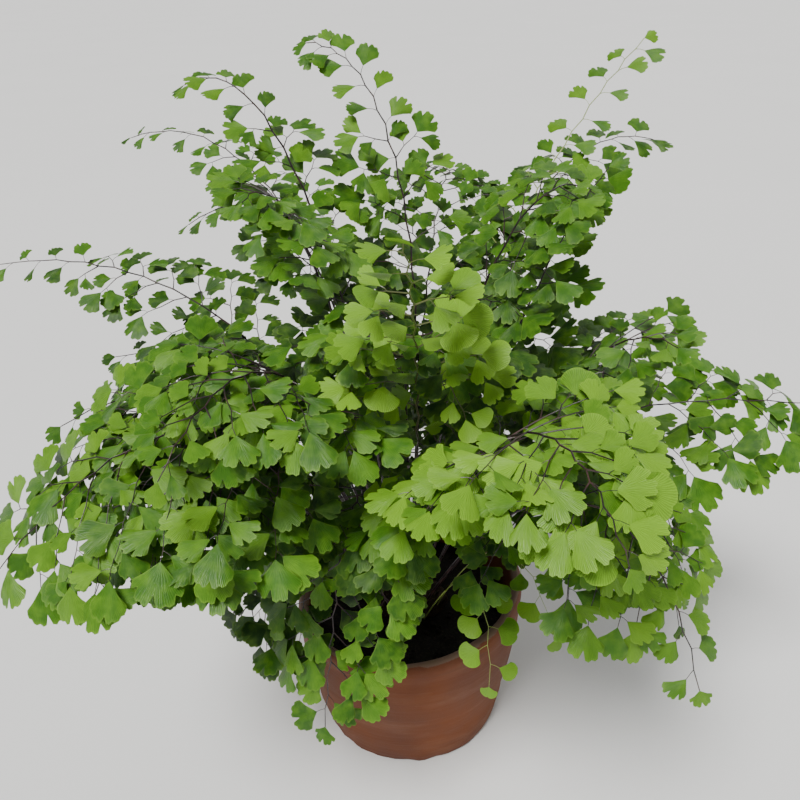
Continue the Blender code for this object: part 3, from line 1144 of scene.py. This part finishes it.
    def pose(
        self, root: Vector, out: Vector, upper: Vector, stalklet: float, size: float
    ) -> tuple[float, Vector, Vector, Vector]:
        """Try one natural way for a leaflet to sit.

        Args:
            root: Where the stalklet leaves its branch.
            out: The way the leaflet points.
            upper: Its upper side.
            stalklet: The stalklet's length.
            size: The leaflet's length.

        Returns:
            The room round its middle, its axis, its upper side and its stalklet end.
        """
        jitter = Vector([self.random.uniform(-0.3, 0.3) for _ in range(3)])
        axis = (out + jitter * 0.7 - UP * self.random.uniform(0.0, 0.3)).normalized()
        apex = root + axis * stalklet
        tilt = Vector([self.random.uniform(-0.38, 0.38) for _ in range(3)])
        face = upper * 0.6 + self.light * 0.7 + tilt
        face = (face - axis * face.dot(axis)).normalized()
        return self.crowd.room(apex + axis * size * 0.6), axis, face, apex

    def forms(self, last: bool) -> tuple[LeafletForm, ...]:
        """List the forms that a leaflet may take.

        Args:
            last: Whether it is the fan at a branch's end.

        Returns:
            The forms.
        """
        if self.looks.age is Age.YOUNG:
            return ROUND_FANS
        if self.looks.age is Age.FRESH:
            return ROUND_FANS + FANS[1:] + HALF_FANS[1:3]
        if self.looks.tone > 0.75:
            return ROUND_FANS[:1] + FANS + HALF_FANS
        return FANS if last else HALF_FANS + FANS[1:2] + FANS[3:]

    def join_stems(self) -> None:
        """Make the frond's stem work in one piece, mark how green it is, and hand it over."""
        name = f"frond_{self.number:02d}_stems"
        stems = join_all([self.wires(self.runs, 1), self.wires(self.hairs, 0)], name)
        smooth(stems, 60)
        low, high = self.route.start.z, self.route.point(1.0).z
        green = self.looks.green
        marks = []
        for corner in stems.data.vertices:
            above = (corner.co.z - low) / (high - low) - (1.0 - green) + 0.25
            marks.append(green * min(1.0, max(0.0, above) * 2))
        mark(stems.data, "green", marks)
        stems.data.materials.append(self.stalk_finish)
        hand_over(stems, (f"stalk_{self.number:02d}",))

    def wires(self, runs: list[Run], roundness: int) -> bpy.types.Object:
        """Draw runs as tubes with closed ends.

        Args:
            runs: The runs.
            roundness: How round the tubes are, from 0 for four sides.

        Returns:
            The tubes, in one mesh.
        """
        curve = bpy.data.curves.new("wires", "CURVE")
        curve.dimensions = "3D"
        curve.bevel_depth = 1.0
        curve.bevel_resolution = roundness
        curve.use_fill_caps = True
        for run in runs:
            spline = curve.splines.new("POLY")
            spline.points.add(len(run.points) - 1)
            for corner, spot, radius in zip(spline.points, run.points, run.radii):
                corner.co = (*spot, 1.0)
                corner.radius = radius
        wires = bpy.data.objects.new("wires", curve)
        bpy.context.scene.collection.objects.link(wires)
        pick(wires)
        bpy.ops.object.convert(target="MESH")
        return bpy.context.object


# ---------------------------------------------------------------- pot, soil and rhizome


@dataclass
class Pot:
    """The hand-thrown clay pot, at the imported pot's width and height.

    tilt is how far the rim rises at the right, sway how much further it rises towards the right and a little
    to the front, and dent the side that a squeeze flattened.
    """

    finish: bpy.types.Material
    segments: int = 96
    wall: float = 0.005
    floor: float = 0.007
    drain_radius: float = 0.006
    drain_circle: float = 0.022
    drains: int = 3
    foot_share: float = 0.833
    tilt: float = 0.004
    sway: float = 0.0030
    dent: Vector = field(default_factory=lambda: Vector((0.72, -0.69, 0.0)))

    def build(self) -> None:
        """Throw the pot ring by ring, roughen it and hand it over."""
        low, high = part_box("pot")
        self.rim = (high.x - low.x) / 2
        self.height = high.z - self.tilt
        self.foot = self.rim * self.foot_share
        start = self.foot - 0.003
        deselect_all()
        bpy.ops.mesh.primitive_circle_add(vertices=self.segments, radius=start, fill_type="NOTHING")
        pot = bpy.context.object
        pot.name = "clay_pot"
        bpy.ops.object.mode_set(mode="EDIT")
        bpy.ops.mesh.select_all(action="SELECT")
        raise_rings(start, 0.0, self.profile())
        bpy.ops.mesh.edge_face_add()
        bpy.ops.mesh.select_all(action="DESELECT")
        bpy.ops.object.mode_set(mode="OBJECT")
        self.close_foot(pot)
        self.roughen(pot)
        self.drill(pot)
        self.mark_dust_and_lip_shadow(pot)
        smooth(pot, 50)
        pot.data.materials.append(self.finish)
        hand_over(pot, ("pot",))

    def outer(self, share: float) -> float:
        """Give the outer radius at a share of the height."""
        return self.foot + (self.rim - self.foot) * sin(share * pi / 2) ** 1.3

    def profile(self) -> list[Ring]:
        """List the rings of the wall.

        Returns:
            The radius and height of each, from the foot up, over the lip and down inside.
        """
        height = self.height
        rings = [(self.foot - 0.0014, 0.0004), (self.foot - 0.0004, 0.0018)]
        for step in range(1, 22):
            share = 0.03 + 0.93 * step / 21
            rings.append((self.outer(share) + self.ridge(share), share * height))
        lip = self.rim - self.wall / 2
        for step in range(1, 7):
            turn = pi * step / 7
            rings.append((lip + (self.wall / 2) * cos(turn) * 0.98, height * 0.965 + 0.0026 * sin(turn)))
        for step in range(1, 12):
            share = 0.93 - (0.93 - 0.16) * step / 11
            rings.append((self.outer(share) - self.wall, share * height))
        well = self.foot - self.wall
        return rings + [(well - 0.001, self.floor + 0.002), (well - 0.004, self.floor)]

    def ridge(self, share: float) -> float:
        """Give the throwing ridges' height.

        Args:
            share: The share of the pot's height.

        Returns:
            How far the wall stands out: a bead and a groove under the lip, and a faint step near the foot.
        """
        bead = 0.0009 * max(0.0, 1 - abs(share - 0.93) / 0.05)
        groove = -0.0007 * max(0.0, 1 - abs(share - 0.85) / 0.04)
        step = 0.0006 * max(0.0, 1 - abs(share - 0.20) / 0.06)
        return bead + groove + step

    def close_foot(self, pot: bpy.types.Object) -> None:
        """Fill the underside.

        Args:
            pot: The pot, open below.
        """
        pick(pot)
        bpy.ops.object.mode_set(mode="EDIT")
        shape = bmesh.from_edit_mesh(pot.data)
        for edge in shape.edges:
            edge.select = edge.is_boundary
        bmesh.update_edit_mesh(pot.data)
        bpy.ops.mesh.edge_face_add()
        bpy.ops.mesh.select_all(action="SELECT")
        bpy.ops.mesh.normals_make_consistent(inside=False)
        bpy.ops.object.mode_set(mode="OBJECT")

    def lean(self, spot: Vector) -> float:
        """Give how far the rim is raised over a spot, before its share of the height."""
        return self.tilt * spot.x + self.sway * (spot.x * 0.94 - spot.y * 0.34)

    def roughen(self, pot: bpy.types.Object) -> None:
        """Tip the rim, and move the skin as a quick thrower's fingers leave it.

        Args:
            pot: The pot.
        """
        for corner in pot.data.vertices:
            spot = corner.co.copy()
            share = spot.z / self.height
            rise = max(0.0, share - 0.5) * 2
            reach = spot.xy.length
            if reach > self.foot - self.wall - 0.002 and share > 0.02:
                streak = Vector((spot.x * 40, spot.y * 40, spot.z * 260))
                swell = noise.noise(spot * 22.0) * 0.0011 + noise.noise(streak) * 0.00035
                corner.co.x += spot.x / reach * swell
                corner.co.y += spot.y / reach * swell
            if share > 0.9:
                corner.co.z += noise.noise(Vector((spot.x * 45, spot.y * 45, 3.0))) * 0.0011
            if 0.0 < share < 0.04 and reach > self.foot - 0.004:
                burr = noise.noise(Vector((spot.x * 120, spot.y * 120, 8.0))) * 0.0012
                corner.co.x += spot.x / reach * burr
                corner.co.y += spot.y / reach * burr
            corner.co.z += self.lean(spot) * rise / self.rim
            if share > 0.6:
                outward = Vector((spot.x, spot.y, 0.0)).normalized()
                near = max(0.0, 1 - (outward - self.dent).length * 1.3)
                squeeze = 1 - 0.022 * (share - 0.6) / 0.4 * near
                corner.co.x *= squeeze
                corner.co.y *= squeeze

    def drill(self, pot: bpy.types.Object) -> None:
        """Cut the drainage holes through the floor.

        Args:
            pot: The pot.
        """
        for index in range(self.drains):
            turn = radians(90 + index * 360 / self.drains)
            spot = (self.drain_circle * cos(turn), self.drain_circle * sin(turn), self.floor / 2)
            deselect_all()
            bpy.ops.mesh.primitive_cylinder_add(
                vertices=24, radius=self.drain_radius, depth=self.floor * 3, location=spot
            )
            cutter = bpy.context.object
            hole = pot.modifiers.new("drain", "BOOLEAN")
            hole.operation = "DIFFERENCE"
            hole.object = cutter
            apply_all_modifiers(pot)
            bpy.data.objects.remove(cutter, do_unlink=True)

    def mark_dust_and_lip_shadow(self, pot: bpy.types.Object) -> None:
        """Mark where dust lies, on the lip and a little inside, and where a shadow is painted on the clay
        under the lip.

        Args:
            pot: The pot.
        """
        dusty, lip_shadow = [], []
        for corner in pot.data.vertices:
            share = (corner.co.z - self.lean(corner.co) / self.rim) / self.height
            inner = corner.co.xy.length < self.outer(min(1.0, max(0.0, share))) - 0.0012
            dusty.append(max(0.0, min(1.0, (share - 0.955) / 0.03)) * (1.0 if inner else 0.40))
            # Painted shadow in a strip on the outside under the lip, stronger towards the right; none inside
            # the pot.
            shadow_strip = max(0.0, 1 - abs(share - 0.915) / 0.035)
            lip_shadow.append(0.0 if inner else shadow_strip * max(0.0, 0.35 + corner.co.x / self.rim) * 0.8)
        mark(pot.data, "dusty", dusty)
        mark(pot.data, "lip_shadow", lip_shadow)


@dataclass
class Soil:
    """The dark potting soil, with a crumbly top."""

    finish: bpy.types.Material
    foot: float = 0.041
    segments: int = 72
    crumbs: int = 150

    def build(self) -> None:
        """Fill the pot with a crumbly disc of soil and hand it over."""
        random = Random(41)
        low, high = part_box("potting_soil")
        reach = (high.x - low.x) / 2
        deselect_all()
        bpy.ops.mesh.primitive_circle_add(vertices=self.segments, radius=self.foot, fill_type="NOTHING")
        soil = bpy.context.object
        soil.data.transform(Matrix.Translation((0, 0, low.z)))
        soil.name = "potting_soil_surface"
        bpy.ops.object.mode_set(mode="EDIT")
        bpy.ops.mesh.select_all(action="SELECT")
        bpy.ops.mesh.edge_face_add()
        rings = [(0.0435, low.z + 0.005), (0.0505, 0.030), (0.0525, 0.050), (reach - 0.0004, high.z - 0.004)]
        rings.append((reach - 0.0015, high.z - 0.0018))
        shares = [0.92 - 0.08 * step for step in range(11)] + [0.05]
        raise_rings(self.foot, low.z, rings + [(reach * share, high.z - 0.0012 * share) for share in shares])
        bpy.ops.mesh.select_all(action="SELECT")
        bpy.ops.mesh.normals_make_consistent(inside=False)
        bpy.ops.object.mode_set(mode="OBJECT")
        for corner in soil.data.vertices:
            if corner.co.z > high.z - 0.0045:
                fine = noise.fractal(corner.co * 170.0, 0.7, 2.0, 4) * 0.0011
                corner.co.z += fine + noise.noise(corner.co * 60.0) * 0.0008
        pieces = [soil]
        for _ in range(self.crumbs):
            turn, out = random.uniform(0, 2 * pi), sqrt(random.uniform(0.0, 1.0)) * (reach - 0.003)
            size = random.uniform(0.0007, 0.0019)
            deselect_all()
            bpy.ops.mesh.primitive_ico_sphere_add(subdivisions=1, radius=size)
            crumb = bpy.context.object
            for corner in crumb.data.vertices:
                corner.co *= 1 + noise.noise(corner.co * 900 + Vector((turn, out * 99, 0))) * 0.5
            crumb.data.transform(Matrix.Translation((out * cos(turn), out * sin(turn), high.z - 0.0002)))
            pieces.append(crumb)
        soil = join_all(pieces, "potting_soil_surface")
        smooth(soil, 70)
        soil.data.materials.clear()
        soil.data.materials.append(self.finish)
        hand_over(soil, ("potting_soil",))


@dataclass
class Rhizome:
    """The creeping rhizome: a knobbly scaly body with the stubs of old stalks."""

    finish: bpy.types.Material
    stubs: int = 26

    def build(self) -> None:
        """Shape the rhizome and hand it over."""
        random = Random(77)
        low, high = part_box("rhizome")
        deselect_all()
        bpy.ops.mesh.primitive_uv_sphere_add(segments=48, ring_count=24, radius=1.0)
        body = bpy.context.object
        half = (high - low) / 2
        tall = high.z - low.z
        for corner in body.data.vertices:
            spot = corner.co.copy()
            rough = 1 + noise.noise(spot * 3.1) * 0.10 + noise.noise(spot * 9.0) * 0.06
            wide = rough * 0.94
            height = low.z + max(spot.z, -0.15) * tall * 0.92 * rough
            corner.co = Vector((spot.x * half.x * wide, spot.y * half.y * wide, height))
        pieces = [body]
        for _ in range(self.stubs):
            turn, out = random.uniform(0, 2 * pi), sqrt(random.uniform(0.02, 0.9))
            top = low.z + tall * sqrt(max(0.0, 1 - out**2)) * 0.8
            foot = Vector((half.x * out * cos(turn), half.y * out * sin(turn), top))
            deselect_all()
            length = random.uniform(0.003, 0.009)
            bpy.ops.mesh.primitive_cone_add(vertices=6, radius1=0.0010, radius2=0.0005, depth=length)
            stub = bpy.context.object
            lean = Vector((cos(turn) * 0.5, sin(turn) * 0.5, 1.0)).normalized()
            turned = UP.rotation_difference(lean).to_matrix().to_4x4()
            stub.data.transform(Matrix.Translation(foot + lean * length * 0.35) @ turned)
            pieces.append(stub)
        body = join_all(pieces, "rhizome_body")
        smooth(body, 60)
        body.data.materials.clear()
        body.data.materials.append(self.finish)
        hand_over(body, ("rhizome",))


# ---------------------------------------------------------------- studio


@dataclass
class Studio:
    """The plain pale floor, the soft lights and the camera."""

    camera_place: Place = (-0.002, -0.325, 0.375)
    pitch: float = 29.3
    roll: float = -1.5
    lens: float = 36.0
    sensor: float = 36.0
    middle: Place = (0.0, 0.0, 0.18)
    room_light: float = 0.29
    floor_side: float = 30.0

    def build(self) -> None:
        """Lay the floor, hang the lights and set the camera."""
        self.lay_floor()
        self.sun("key_light", (-0.6, -1.0, 1.9), 4.4, 22.0)
        self.sun("back_light", (0.6, 1.2, 1.0), 0.5, 50.0)
        self.window("fill_window", (1.5, -0.8, 1.3), 1.4, 4.0)
        world = bpy.data.worlds.new("soft_room")
        bpy.context.scene.world = world
        world.use_nodes = True
        backdrop = world.node_tree.nodes["Background"]
        backdrop.inputs["Color"].default_value = (1.0, 1.0, 1.0, 1.0)
        backdrop.inputs["Strength"].default_value = self.room_light
        self.set_camera()

    def lay_floor(self) -> None:
        """Lay a wide pale floor."""
        deselect_all()
        bpy.ops.mesh.primitive_plane_add(size=self.floor_side)
        floor = bpy.context.object
        floor.name = "studio_floor"
        material, tree, shader = new_material("pale_floor")
        objects = tree.add("ShaderNodeTexCoord").outputs["Object"]
        cloud = tree.noise(objects, 3.0, 2.0)
        colour = tree.blend(cloud, (0.76, 0.76, 0.76, 1.0), (0.80, 0.80, 0.80, 1.0))
        tree.feed(shader, Base_Color=colour, Roughness=0.8)
        floor.data.materials.append(material)

    def window(self, name: str, place: Place, size: float, power: float) -> None:
        """Hang one soft square light that faces the plant.

        Args:
            name: The light's name.
            place: Where it hangs.
            size: Its side.
            power: Its power in watts.
        """
        lamp = bpy.data.lights.new(name, "AREA")
        lamp.size = size
        lamp.energy = power
        self.hang(lamp, place, Vector(self.middle) - Vector(place))

    def sun(self, name: str, place: Place, strength: float, spread: float) -> None:
        """Hang a broad light that is far away.

        Args:
            name: The light's name.
            place: The side that it shines from.
            strength: Its strength.
            spread: How wide it looks from the plant, in degrees, which softens its shadows.
        """
        lamp = bpy.data.lights.new(name, "SUN")
        lamp.energy = strength
        lamp.angle = radians(spread)
        lamp.color = (1.0, 0.99, 0.96)
        self.hang(lamp, place, -Vector(place))

    def hang(self, lamp: bpy.types.Light, place: Place, aim: Vector) -> None:
        """Put a light in the scene.

        Args:
            lamp: The light.
            place: Where it hangs.
            aim: The way that it shines.
        """
        item = bpy.data.objects.new(lamp.name, lamp)
        item.location = place
        item.rotation_euler = aim.to_track_quat("-Z", "Y").to_euler()
        bpy.context.scene.collection.objects.link(item)

    def set_camera(self) -> None:
        """Set the camera looking down on the plant from the front."""
        camera = bpy.data.cameras.new("front_camera")
        camera.lens = self.lens
        camera.sensor_width = self.sensor
        camera.clip_start = 0.01
        item = bpy.data.objects.new("front_camera", camera)
        pitched = Matrix.Rotation(radians(90 - self.pitch), 4, "X")
        rolled = Matrix.Rotation(radians(self.roll), 4, "Z")
        item.matrix_world = Matrix.Translation(self.camera_place) @ pitched @ rolled
        bpy.context.scene.collection.objects.link(item)
        bpy.context.scene.camera = item


POTTING_SOIL = EarthFinish(
    "black_potting_soil", (0.006, 0.005, 0.004, 1.0), (0.030, 0.022, 0.015, 1.0), 700.0, 0.92
)
BARK = EarthFinish("scaly_rhizome", (0.020, 0.011, 0.006, 1.0), (0.090, 0.050, 0.026, 1.0), 900.0, 0.8)
ROOTS = EarthFinish("fine_root_mass", (0.060, 0.036, 0.018, 1.0), (0.260, 0.180, 0.100, 1.0), 800.0, 0.9)


def main() -> None:
    """Build every piece in order."""
    logging.basicConfig(level=logging.INFO, format="%(name)s: %(message)s")
    grit = grit_group()
    Studio().build()
    Pot(ClayFinish("damp_red_clay").make(grit)).build()
    Soil(POTTING_SOIL.make(grit)).build()
    Rhizome(BARK.make(grit)).build()
    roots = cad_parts["roots"]
    roots.data.materials.clear()
    roots.data.materials.append(ROOTS.make(grit))
    cutter = LeafletCutter(LeafFinish("fern_leaflet").make())
    crowd = Crowd()
    wiry = StalkFinish("black_wiry_stalk").make()
    for number, looks in enumerate(LOOKS, 1):
        Frond(number, looks, cutter, crowd, wiry).build()
    cutter.clear()


if __name__ == "__main__":
    main()
